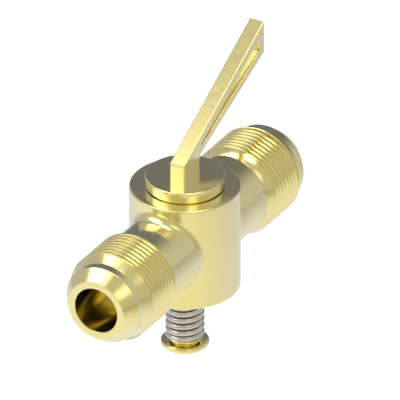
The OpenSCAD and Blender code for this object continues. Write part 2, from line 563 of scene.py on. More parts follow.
def new_material(name: str) -> tuple[bpy.types.Material, Graph, bpy.types.Node]:
    """Starts a node material.

    Args:
        name: Name of the material.

    Returns:
        The material, its graph and its shader.
    """
    material = bpy.data.materials.new(name)
    material.use_nodes = True
    return material, Graph(material.node_tree), material.node_tree.nodes["Principled BSDF"]


@dataclass(frozen=True)
class BrassFinish:
    """Bright brass with fine tool marks, slight mottling and uneven polish.

    On the body the marks change from the plug axis to the flow axis at the split, a distance along the
    flow axis. A clear coat gives the pale gloss that polished brass has at a slant.
    """

    name: str
    marks: Marks
    tone: Tone = (0.945, 0.825, 0.33)
    deeper_tone: Tone = (0.93, 0.805, 0.315)
    mottle_scale: float = 180.0
    mottle_detail: float = 3.0
    roughness: float = 0.15
    roughness_spread: float = 0.04
    polish_scale: float = 900.0
    polish_detail: float = 2.0
    mark_height: float = 0.004
    mark_pitch: float = 0.09
    wheel_x: float = 0.6
    wheel_z: float = 0.8
    split: float = 9.5
    split_width: float = 1.0
    coat_ior: float = 3.5
    slant_start: float = 0.13
    slant_full: float = 0.52

    def across_marks(self, graph: Graph, x: Wire, y: Wire, z: Wire) -> Wire:
        """Coordinate in metres that changes only across the tool marks.

        Args:
            graph: The material's graph.
            x: X of the surface point.
            y: Y of the surface point.
            z: Z of the surface point.

        Returns:
            Distance across the marks.
        """
        if self.marks is Marks.POLISHED:
            return x * self.wheel_x + z * self.wheel_z
        round_plug = z + graph.hypotenuse(x, y)
        if self.marks is Marks.TURNED_ROUND_PLUG:
            return round_plug
        from_plug = graph.math("ABSOLUTE", x)
        round_flow = from_plug + graph.hypotenuse(y, z)
        start = (self.split - self.split_width / 2) * MM
        stop = (self.split + self.split_width / 2) * MM
        outside = graph.ramp(from_plug, start, stop, 0, 1, False)
        return round_plug + (round_flow - round_plug) * outside

    def material(self) -> bpy.types.Material:
        """Builds the node material.

        Returns:
            The material.
        """
        material, graph, shader = new_material(self.name)
        place = graph.place()
        mottle = graph.noise(place, self.mottle_scale, self.mottle_detail)
        deeper = graph.ramp(mottle, NOISE_LOW, NOISE_HIGH, 0, 1, True)
        graph.feed(shader.inputs["Base Color"], graph.blended(deeper, self.tone, self.deeper_tone))
        polish = graph.noise(place, self.polish_scale, self.polish_detail)
        low = self.roughness - self.roughness_spread / 2
        rough = graph.ramp(polish, NOISE_LOW, NOISE_HIGH, low, low + self.roughness_spread, False)
        graph.feed(shader.inputs["Roughness"], rough)
        across = self.across_marks(graph, *graph.parts(place))
        mark = graph.noise(graph.vector(across / (self.mark_pitch * MM), 0.0, 0.0), 1.0, 1.0)
        bump = graph.node("ShaderNodeBump")
        bump.inputs["Strength"].default_value = 1.0
        bump.inputs["Distance"].default_value = self.mark_height * MM
        graph.feed(bump.inputs["Height"], mark)
        graph.feed(shader.inputs["Normal"], bump.outputs["Normal"])
        shader.inputs["Metallic"].default_value = 1.0
        slant = graph.wire("ShaderNodeLayerWeight", {"Blend": 0.5}, "Facing")
        coat = graph.ramp(slant, self.slant_start, self.slant_full, 0, 1, False)
        graph.feed(shader.inputs["Coat Weight"], coat)
        shader.inputs["Coat Roughness"].default_value = self.roughness
        shader.inputs["Coat IOR"].default_value = self.coat_ior
        return material


@dataclass(frozen=True)
class WireFinish:
    """Drawn spring wire: silvery grey steel with a faint grain and darker specks."""

    name: str = "drawn spring wire"
    tone: Tone = (0.70, 0.675, 0.65)
    dark_tone: Tone = (0.62, 0.595, 0.57)
    grain_scale: float = 2600.0
    grain_detail: float = 4.0
    speck_start: float = 0.35
    speck_full: float = 0.75
    smoothest: float = 0.12
    roughest: float = 0.25

    def material(self) -> bpy.types.Material:
        """Builds the node material.

        Returns:
            The material.
        """
        material, graph, shader = new_material(self.name)
        grain = graph.noise(graph.place(), self.grain_scale, self.grain_detail)
        specks = graph.ramp(grain, self.speck_start, self.speck_full, 0, 1, True)
        graph.feed(shader.inputs["Base Color"], graph.blended(specks, self.tone, self.dark_tone))
        rough = graph.ramp(grain, NOISE_LOW, NOISE_HIGH, self.smoothest, self.roughest, False)
        graph.feed(shader.inputs["Roughness"], rough)
        shader.inputs["Metallic"].default_value = 1.0
        return material


@dataclass
class NodeShape:
    """Geometry Nodes tree that bends a grid into a swept surface, with named inputs for its sizes."""

    name: str
    floats: dict[str, float]
    integers: dict[str, int]
    identifiers: dict[str, str] = field(default_factory=dict)

    def open_tree(self) -> tuple[Graph, dict[str, Wire]]:
        """Starts the tree with an input for each size and one for the material.

        Returns:
            The graph and its inputs by name.
        """
        tree = bpy.data.node_groups.new(self.name, "GeometryNodeTree")
        tree.interface.new_socket(name="Geometry", in_out="OUTPUT", socket_type="NodeSocketGeometry")
        kinds = {name: "NodeSocketFloat" for name in self.floats}
        kinds.update({name: "NodeSocketInt" for name in self.integers})
        kinds["Material"] = "NodeSocketMaterial"
        for name, kind in kinds.items():
            socket = tree.interface.new_socket(name=name, in_out="INPUT", socket_type=kind)
            self.identifiers[name] = socket.identifier
        graph = Graph(tree)
        entry = graph.node("NodeGroupInput")
        return graph, {name: Wire(graph, entry.outputs[name]) for name in kinds}

    def grid(self, graph: Graph, rows: object, columns: object) -> tuple[Wire, Wire, Wire]:
        """Adds the grid that is bent.

        Args:
            graph: The graph.
            rows: Points along the sweep.
            columns: Points round it, the seam twice.

        Returns:
            The grid, and each point's share of the way along and round.
        """
        sizes = {"Size X": 1.0, "Size Y": 1.0, "Vertices X": rows, "Vertices Y": columns}
        mesh = graph.wire("GeometryNodeMeshGrid", sizes, "Mesh")
        x, y, _ = graph.parts(Wire(graph, graph.node("GeometryNodeInputPosition").outputs[0]))
        return mesh, x + 0.5, y + 0.5

    def close_tree(self, graph: Graph, mesh: Wire, position: Wire, material: Wire) -> None:
        """Bends the grid, welds it, and ends in Realize Instances and Set Material.

        Args:
            graph: The graph.
            mesh: The grid.
            position: Where each of its points goes.
            material: The finish.
        """
        bent = graph.wire("GeometryNodeSetPosition", {"Geometry": mesh, "Position": position})
        weld = {"Geometry": bent, "Distance": WELD * MM}
        welded = graph.wire("GeometryNodeMergeByDistance", weld)
        real = graph.wire("GeometryNodeRealizeInstances", {"Geometry": welded})
        covered = graph.wire("GeometryNodeSetMaterial", {"Geometry": real, "Material": material})
        graph.feed(graph.node("NodeGroupOutput").inputs[0], covered)

    def mesh(self, tree: bpy.types.NodeTree, material: bpy.types.Material) -> bpy.types.Mesh:
        """Runs the tree once on an empty object.

        Args:
            tree: The finished tree.
            material: The finish.

        Returns:
            The plain mesh.
        """
        carrier = bpy.data.objects.new(self.name, bpy.data.meshes.new(self.name))
        bpy.context.scene.collection.objects.link(carrier)
        modifier = carrier.modifiers.new(self.name, "NODES")
        modifier.node_group = tree
        for name, value in {**self.floats, **self.integers, "Material": material}.items():
            modifier[self.identifiers[name]] = value
        result = applied(carrier)
        carrier.modifiers.remove(modifier)
        empty = carrier.data
        bpy.data.objects.remove(carrier)
        bpy.data.meshes.remove(empty)
        return result


@dataclass
class HelicalThread:
    """Right-hand thread on a flare end, from the run-out to the lead-in.

    Each row of the grid follows the helix, so the crests stay crisp, and the rows that fall outside the
    thread lie on its end rings.
    """

    start: float
    length: float
    radius: float
    pitch: float = 1.01
    depth: float = 0.55
    crest_share: float = 0.27
    root_share: float = 0.1
    fade: float = 0.22
    rows_per_turn: int = 16
    spare_turns: int = 2

    def mesh(self, phase: float, material: bpy.types.Material) -> bpy.types.Mesh:
        """Builds the thread at +X.

        Args:
            phase: Share of a pitch by which the helix is shifted.
            material: The finish.

        Returns:
            The thread's surface in metres, open at both end rings.
        """
        turns = ceil(self.length / self.pitch + self.spare_turns)
        shape = NodeShape(
            name="helical thread",
            floats={
                "Start": self.start * MM,
                "Length": self.length * MM,
                "Radius": self.radius * MM,
                "Pitch": self.pitch * MM,
                "Depth": self.depth * MM,
                "Crest Share": self.crest_share,
                "Root Share": self.root_share,
                "Fade": self.fade * MM,
                "Phase": phase,
            },
            integers={"Turns": turns, "Rows": turns * self.rows_per_turn + 1, "Columns": COLUMNS + 1},
        )
        graph, given = shape.open_tree()
        mesh, along, around = shape.grid(graph, given["Rows"], given["Columns"])
        turn = along * given["Turns"]
        start = given["Start"]
        end = start + given["Length"]
        on_helix = start + given["Pitch"] * (turn + around - given["Phase"] - 1.0)
        x = on_helix.held(start, end)
        from_groove = graph.math("ABSOLUTE", graph.math("FRACT", turn) - 0.5) * 2.0
        flank_end = graph.math("SUBTRACT", 1.0, given["Crest Share"])
        cut = graph.ramp(from_groove, given["Root Share"], flank_end, 1.0, 0.0, False)
        to_end = (x - start).at_most(end - x)
        faded = (to_end / given["Fade"]).held(0.0, 1.0)
        radius = given["Radius"] - given["Depth"] * cut * faded
        angle = around * (2 * pi)
        position = graph.vector(x, radius * angle.cosine(), radius * angle.sine())
        shape.close_tree(graph, mesh, position, given["Material"])
        return shape.mesh(graph.tree, material)


@dataclass
class ValveBody:
    """Barrel, necks, flare ends, flow bores and taper seat: one forging, turned all over.

    Port and neck keep a short straight part of plain rings beside the curved rows that follow the seat
    and the barrel. The barrel's edge has just under its full radius, so that its arc starts past the
    last row of the wall.
    """

    barrel_r: float
    top: float
    bottom: float
    half_length: float
    thread_r: float
    thread_length: float
    thread_middle: float
    bore_r: float
    bore_depth: float
    port_r: float
    finish: BrassFinish
    neck_r: float = 6.925
    run_out_angle: float = 45.0
    nose_r: float = 6.925
    nose_length: float = 1.45
    cone_length: float = 2.156
    face_r: float = 5.3
    floor_angle: float = 85.0
    seat_top_r: float = 6.2
    taper_angle: float = 3.6
    junction_r: float = 1.6
    edge_r: float = 0.25
    fine_edge_r: float = 0.12
    mouth_r: float = 0.1
    inlet_phase: float = 0.15
    outlet_phase: float = 0.27
    straight: float = 1.0
    junction_steps: int = 8
    below_full: float = 0.999

    def seat_r(self, z: float) -> float:
        """Radius of the taper seat at a height."""
        return self.seat_top_r - (self.top - z) * tan(radians(self.taper_angle))

    def port_rows(self) -> list[Row]:
        """Port's edge in the seat, bore, flare face, cone, and nose up to the thread.

        Returns:
            Rows on the outlet side, from the plug axis outwards.
        """
        bore_start = self.half_length - self.bore_depth
        floor = bore_start - (self.bore_r - self.port_r) / tan(radians(self.floor_angle))
        nose_front = self.half_length - self.cone_length
        outline = rounded(
            [
                Corner(self.port_r, floor - self.straight),
                Corner(self.port_r, floor),
                Corner(self.bore_r, bore_start),
                Corner(self.bore_r, self.half_length, self.fine_edge_r),
                Corner(self.face_r, self.half_length, self.fine_edge_r),
                Corner(self.nose_r, nose_front, self.fine_edge_r),
                Corner(self.nose_r, nose_front - self.nose_length, self.mouth_r),
                Corner(self.thread_r, self.thread_front),
            ]
        )
        rows = [ring_round_flow(along, radius) for radius, along in outline]
        return [hole_edge(self.port_r, self.seat_r), *rows]

    @property
    def thread_front(self) -> float:
        """Place at which the thread's lead-in ends."""
        return self.thread_middle + self.thread_length / 2

    @property
    def thread_back(self) -> float:
        """Place at which the thread runs out."""
        return self.thread_middle - self.thread_length / 2

    def neck_rows(self) -> list[Row]:
        """Run-out chamfer, neck, and the fillet that a ball leaves as it rolls between neck and barrel.

        Returns:
            Rows on the outlet side, from the thread inwards, the last one on the barrel.
        """
        chamfer = (self.thread_r - self.neck_r) / tan(radians(self.run_out_angle))
        neck_front = self.thread_back - chamfer
        outline = rounded(
            [
                Corner(self.thread_r, self.thread_back),
                Corner(self.neck_r, neck_front, self.fine_edge_r),
                Corner(self.neck_r, self.barrel_r + self.junction_r + self.straight),
            ]
        )
        rows = [ring_round_flow(along, radius) for radius, along in outline]
        path = hole_edge(self.neck_r + self.junction_r, lambda z: self.barrel_r + self.junction_r)
        for step in range(self.junction_steps + 1):
            row = []
            for centre in path:
                to_neck = Vector((0, -centre.y, -centre.z)).normalized()
                to_barrel = Vector((-centre.x, -centre.y, 0)).normalized()
                sweep = to_neck.angle(to_barrel)
                arm = on_arc(to_neck, to_barrel, sweep, step / self.junction_steps)
                row.append(centre + arm * self.junction_r)
            rows.append(row)
        return rows

    def build(self) -> bpy.types.Object:
        """Puts the body together.

        Returns:
            The finished piece.
        """
        material = self.finish.material()
        skin = Skin()
        barrel = PiercedWall(self.bottom + self.edge_r, self.top - self.edge_r, lambda z: self.barrel_r)
        seat = PiercedWall(self.bottom + self.mouth_r, self.top - self.mouth_r, self.seat_r)
        thread = HelicalThread(self.thread_back, self.thread_length, self.thread_r)
        neck = self.neck_rows()
        port = self.port_rows()
        for end in End:
            skin.strip(half_turned(port, end))
            skin.strip(half_turned(neck, end))
            skin.strip(half_turned(barrel.between(neck[-1]), end))
            skin.strip(half_turned(seat.between(port[0]), end))
            for upper in (True, False):
                skin.strip(half_turned(barrel.cap(self.face_outline(upper), upper), end), around=False)
            phase = self.inlet_phase if end is End.INLET else self.outlet_phase
            skin.take(thread.mesh(phase, material), half_turn=end is End.INLET)
        return dressed(skin.close("turned_body"), material)

    def face_outline(self, upper: bool) -> Outline:
        """Barrel's top or bottom face from its rounded edge to the mouth of the seat.

        Args:
            upper: True for the top face.

        Returns:
            Radii and heights.
        """
        face = self.top if upper else self.bottom
        inwards = -1 if upper else 1
        mouth = face + inwards * self.mouth_r
        return rounded(
            [
                Corner(self.barrel_r, face + inwards * self.edge_r),
                Corner(self.barrel_r, face, self.edge_r * self.below_full),
                Corner(self.seat_r(mouth) + self.mouth_r, face),
                Corner(self.seat_r(mouth), mouth),
            ]
        )


@dataclass
class LeverPlug:
    """Taper plug with its cross port, head, lever and tail: one forging, turned and polished."""

    barrel_top: float
    barrel_bottom: float
    port_r: float
    lever_reach: float
    lever_top: float
    lowest: float
    seat_top_r: float
    taper_angle: float
    finish: BrassFinish
    clearance: float = 0.03
    taper_short: float = 0.5
    head_r: float = 6.65
    head_gap: float = 0.2
    head_height: float = 1.75
    head_edge_r: float = 0.25
    tail_r: float = 2.0
    tail_flats: float = 3.3
    spigot_r: float = 1.3
    retainer_height: float = 1.7
    rivet_depth: float = 0.7
    rivet_crown: float = 0.2
    thickness: float = 2.75
    post_width: float = 5.15
    crook_height: float = 2.6
    lever_angle: float = 28.7
    tip_depth: float = 5.8
    recess_depth: float = 0.7
    recess_root: float = 0.4
    rim: float = 1.5
    rim_root: float = 1.15
    edge_r: float = 0.18
    recess_edge_r: float = 0.08
    edge_steps: int = 4

    @property
    def head_top(self) -> float:
        """Height of the head's top face."""
        return self.barrel_top + self.head_gap + self.head_height

    def plug_r(self, z: float) -> float:
        """Radius of the taper at a height."""
        return self.seat_top_r - (self.barrel_top - z) * tan(radians(self.taper_angle)) - self.clearance

    def head_outline(self) -> Outline:
        """Shoulder and head, from the taper's top to the plug axis.

        Returns:
            Radii and heights.
        """
        underside = self.barrel_top + self.head_gap
        return rounded(
            [
                Corner(self.plug_r(self.barrel_top), self.barrel_top),
                Corner(self.plug_r(self.barrel_top), underside),
                Corner(self.head_r, underside, self.recess_edge_r),
                Corner(self.head_r, self.head_top, self.head_edge_r),
                Corner(0, self.head_top),
            ]
        )

    def turning(self) -> bpy.types.Object:
        """Head, taper, tail and riveted end.

        Returns:
            The turned part as a closed surface.
        """
        taper_end = self.barrel_bottom + self.taper_short
        flange_bottom = self.lowest + self.rivet_crown
        collar_top = flange_bottom + self.retainer_height
        rivet_r = self.spigot_r + self.rivet_depth
        wall = PiercedWall(taper_end, self.barrel_top, self.plug_r)
        edge = hole_edge(self.port_r, self.plug_r)
        turns = wall.turns_on_edge(False)
        end_of_taper = [Vector((cos(turn), sin(turn), 0)) for turn in turns]
        rim = Vector((0, 0, taper_end))
        skin = Skin()
        for end in End:
            skin.strip(half_turned([ring_round_flow(0, self.port_r), edge], end))
            skin.strip(half_turned(wall.between(edge), end))
            skin.strip(half_turned(wall.cap(self.head_outline(), True), end), around=False)
            rows = [[point * self.plug_r(taper_end) + rim for point in end_of_taper]]
            for height in (taper_end, collar_top):
                rows.append([self.on_tail(point, height) for point in end_of_taper])
            for radius, height in (
                (self.spigot_r, collar_top),
                (self.spigot_r, flange_bottom + self.rivet_depth),
                (rivet_r, flange_bottom),
                (rivet_r - self.rivet_crown / 2, self.lowest + self.rivet_crown / 4),
                (rivet_r - self.rivet_crown, self.lowest),
                (0, self.lowest),
            ):
                rows.append([point * radius + Vector((0, 0, height)) for point in end_of_taper])
            skin.strip(half_turned(rows, end), around=False)
        return skin.close("plug turning")

    def on_tail(self, direction: Vector, height: float) -> Vector:
        """Point of the tail in a direction, on a flat where one lies there."""
        side = max(-self.tail_flats / 2, min(self.tail_flats / 2, self.tail_r * direction.y))
        return Vector((self.tail_r * direction.x, side, height))

    def lever(self) -> bpy.types.Object:
        """Post and arm with a recess in each side and rounded edges.

        Returns:
            The lever as a closed surface, its foot sunk in the head.
        """
        half = self.post_width / 2
        slope = tan(radians(self.lever_angle))
        crook = self.head_top + self.crook_height
        bend = self.lever_top - (self.lever_reach + half) * slope
        tip_low = self.lever_top - self.tip_depth
        under = (tip_low - crook) / (self.lever_reach - half)
        foot_z = self.head_top - self.head_height / 2
        growth = (self.rim - self.rim_root) / (self.lever_reach - half)

        def recess_top(x: float) -> float:
            """Height of the recess's upper wall."""
            return bend + (x + half) * slope - self.rim / cos(radians(self.lever_angle))

        def recess_low(x: float) -> float:
            """Height of the recess's lower wall."""
            return crook + (x - half) * under + (self.rim_root + growth * (x - half)) / cos(atan(under))

        opening = slope - under - growth / cos(atan(under))
        start = half + max(0.0, (self.recess_root - recess_top(half) + recess_low(half)) / opening)
        stop = self.lever_reach - self.rim
        tip = ((self.lever_reach, self.lever_top), (self.lever_reach, tip_low))
        rim = [(-half, bend), *tip, (half, crook)]
        upper_wall = [(x, recess_top(x)) for x in (start, stop)]
        recess = upper_wall + [(x, recess_low(x)) for x in (stop, start)]
        feet = [(-half, foot_z), (half, foot_z)]
        mesh = bmesh.new()

        def loop(points: Sequence[tuple[float, float]], y: float) -> list[bmesh.types.BMVert]:
            """Adds points at one depth."""
            return [mesh.verts.new(Vector((x, y, z)) * MM) for x, z in points]

        outer = []
        recess_edges = []
        for side in (-1, 1):
            face_y = side * self.thickness / 2
            outer.append((loop(rim, face_y), loop(feet, face_y)))
            around, base = outer[-1]
            mouth = loop(recess, face_y)
            floor = loop(recess, face_y - side * self.recess_depth)
            mesh.faces.new(floor)
            mesh.faces.new((base[0], base[1], around[3], around[0]))
            for here in range(4):
                after = (here + 1) % 4
                mesh.faces.new((around[here], around[after], mouth[after], mouth[here]))
                wall = mesh.faces.new((mouth[here], mouth[after], floor[after], floor[here]))
                recess_edges.extend(wall.edges)
        (near, near_base), (far, far_base) = outer
        near_line = [near_base[0], *near, near_base[1]]
        far_line = [far_base[0], *far, far_base[1]]
        outer_edges = []
        for here in range(len(near_line) - 1):
            after = here + 1
            band = mesh.faces.new((near_line[here], near_line[after], far_line[after], far_line[here]))
            outer_edges.extend(band.edges)
        mesh.faces.new((near_base[0], near_base[1], far_base[1], far_base[0]))
        bmesh.ops.recalc_face_normals(mesh, faces=mesh.faces)
        foot = (*near_base, *far_base)
        seen_edges = [edge for edge in outer_edges if not all(vertex in foot for vertex in edge.verts)]
        for edges, radius in ((seen_edges, self.edge_r), (recess_edges, self.recess_edge_r)):
            bmesh.ops.bevel(
                mesh,
                geom=list(dict.fromkeys(edges)),
                offset=radius * MM,
                offset_type="OFFSET",
                segments=self.edge_steps,
                profile=0.5,
                affect="EDGES",
            )
        return finished_object(mesh, "lever arm")

    def build(self) -> bpy.types.Object:
        """Joins lever and turning into one surface.

        Returns:
            The finished piece.
        """
        piece = self.turning()
        lever = self.lever()
        joint = piece.modifiers.new("join", "BOOLEAN")
        joint.operation = "UNION"
        joint.solver = "EXACT"
        joint.object = lever
        joined = bmesh.new()
        joined.from_mesh(applied(piece))
        for used in (piece, lever):
            mesh = used.data
            bpy.data.objects.remove(used)
            bpy.data.meshes.remove(mesh)
        bmesh.ops.remove_doubles(joined, verts=joined.verts, dist=WELD * MM)
        return dressed(finished_object(joined, "lever_plug"), self.finish.material())


@dataclass
class SpringWasher:
    """Flat washer with a hole that follows the flats of the tail."""

    radius: float
    low: float
    high: float
    tail_r: float
    tail_flats: float
    finish: BrassFinish
    clearance: float = 0.1
    edge_r: float = 0.1
    columns: int = 128

    def build(self) -> bpy.types.Object:
        """Turns the washer.

        Returns:
            The finished piece.
        """
        outline = rounded(
            [
                Corner(self.tail_r + self.clearance, self.low),
                Corner(self.radius, self.low, self.edge_r),
                Corner(self.radius, self.high, self.edge_r),
                Corner(self.tail_r + self.clearance, self.high),
            ]
        )
        hole = self.tail_flats + 2 * self.clearance
        rows = []
        for number, (radius, height) in enumerate(outline):
            inner = number in (0, len(outline) - 1)
            rows.append(ring_round_plug(radius, height, self.columns, hole if inner else None))
        skin = Skin()
        skin.strip([*rows, rows[0]])
        return dressed(skin.close("thrust_washer"), self.finish.material())


@dataclass
class CompressionSpring:
    """Round-wire spring, right-hand, with closed and ground ends, swept by Geometry Nodes."""

    outer_r: float
    low: float
    height: float
    finish: WireFinish
    wire_d: float = 1.0
    pitch: float = 1.2
    closed_gap: float = 0.04
    start_angle: float = 30.0
    rings_per_turn: int = 56
    sides: int = 18

    def build(self) -> bpy.types.Object:
        """Sweeps the wire.

        Returns:
            The finished piece.
        """
        closed_pitch = self.wire_d + self.closed_gap
        open_turns = (self.height - 2 * closed_pitch) / self.pitch
        turns = open_turns + 2
        shape = NodeShape(
            name="compression spring",
            floats={
                "Turns": turns,
                "Open Turns": open_turns,
                "Closed Pitch": closed_pitch * MM,
                "Open Pitch": self.pitch * MM,
                "Height": self.height * MM,
                "Base": self.low * MM,
                "Coil Radius": (self.outer_r - self.wire_d / 2) * MM,
                "Wire Radius": self.wire_d / 2 * MM,
                "Start Angle": radians(self.start_angle),
            },
            integers={"Rings": ceil(turns * self.rings_per_turn) + 2, "Sides": self.sides + 1},
        )
        graph, given = shape.open_tree()
        mesh, along, around = shape.grid(graph, given["Rings"], given["Sides"])
        last = given["Rings"] - 1.0
        ring = along * last
        turn = ((ring - 1.0) / (last - 2.0)).held(0.0, 1.0) * given["Turns"]
        wire_r = given["Wire Radius"] * ring.held(0.0, 1.0) * (last - ring).held(0.0, 1.0)
        closed = turn.held(0.0, 1.0) + (turn - 1.0 - given["Open Turns"]).held(0.0, 1.0)
        opened = (turn - 1.0).at_least(0.0).at_most(given["Open Turns"])
        middle = given["Closed Pitch"] * closed + given["Open Pitch"] * opened
        side = around * (2 * pi) + pi / 2
        height = (middle + wire_r * side.sine()).held(0.0, given["Height"])
        radius = given["Coil Radius"] + wire_r * side.cosine()
        angle = turn * (2 * pi) + given["Start Angle"]
        position = graph.vector(radius * angle.cosine(), radius * angle.sine(), height + given["Base"])
        shape.close_tree(graph, mesh, position, given["Material"])
        material = self.finish.material()
        skin = Skin()
        skin.take(shape.mesh(graph.tree, material))
        return dressed(skin.close("coil_spring"), material)


@dataclass
class SpringRetainer:
    """Turned cup under the spring: collar, groove, flange and a hole countersunk for the rivet."""

    flange_r: float
    low: float
    high: float
    rivet_depth: float
    finish: BrassFinish
    collar_r: float = 3.0
    collar_height: float = 0.3
    groove_r: float = 2.2
    flange_height: float = 0.9
    flange_edge_r: float = 0.3
    hole_r: float = 1.32
    edge_r: float = 0.08
    edge_steps: int = 5
    columns: int = 128

    def build(self) -> bpy.types.Object:
        """Turns the retainer.

        Returns:
            The finished piece.
        """
        flange_top = self.low + self.flange_height
        outline = rounded(
            [
                Corner(self.hole_r, self.low + self.rivet_depth),
                Corner(self.hole_r + self.rivet_depth, self.low),
                Corner(self.flange_r, self.low, self.flange_edge_r),
                Corner(self.flange_r, flange_top, self.flange_edge_r),
                Corner(self.groove_r, flange_top, self.edge_r),
                Corner(self.groove_r, self.high - self.collar_height, self.edge_r),
                Corner(self.collar_r, self.high - self.collar_height, self.edge_r),
                Corner(self.collar_r, self.high, self.edge_r),
                Corner(self.hole_r, self.high, self.edge_r),
            ],
            closed=True,
            steps=self.edge_steps,
        )
        rows = [ring_round_plug(radius, height, self.columns) for radius, height in outline]
        skin = Skin()
        skin.strip([*rows, rows[0]])
        return dressed(skin.close("retainer_cup"), self.finish.material())


@dataclass(frozen=True)
class SoftBox:
    """Square lamp behind fabric, placed by its direction in degrees, with its sizes in millimetres.

    Its face is brightest over the bulb and fades from there. The bulb stands in the direction given. The
    roll turns the lamp about that direction, and the face reaches further past the bulb on one side
    where it is offset.
    """

    name: str
    azimuth: float
    elevation: float
    side: float
    radiance: float
    core: float
    fade: float
    roll: float = 0.0
    offset: float = 0.0

    def dress(self, lamp: bpy.types.Light) -> None:
        """Lets the lamp's face fade from its bulb.

        Args:
            lamp: The area lamp.
        """
        lamp.use_nodes = True
        graph = Graph(lamp.node_tree)
        face = Wire(graph, graph.node("ShaderNodeNewGeometry").outputs["Parametric"])
        across, up, _ = graph.parts(face)
        across, up = (across - 0.5) * self.side + self.offset, (up - 0.5) * self.side
        strength = graph.ramp(graph.hypotenuse(across, up), self.core, self.fade, 1.0, 0.0, True)
        graph.feed(lamp.node_tree.nodes["Emission"].inputs["Strength"], strength)


KEY_LIGHT = SoftBox(
    "key light",
    azimuth=132.5,
    elevation=52.5,
    side=394,
    radiance=2.5,
    core=25,
    fade=212,
    roll=-46,
    offset=67,
)
FRONT_LIGHT = SoftBox(
    "front light",
    azimuth=-129,
    elevation=32,
    side=230,
    radiance=0.85,
    core=5,
    fade=108,
)
TOP_LIGHT = SoftBox(
    "top light",
    azimuth=-72,
    elevation=79,
    side=240,
    radiance=4.2,
    core=15,
    fade=115,
)


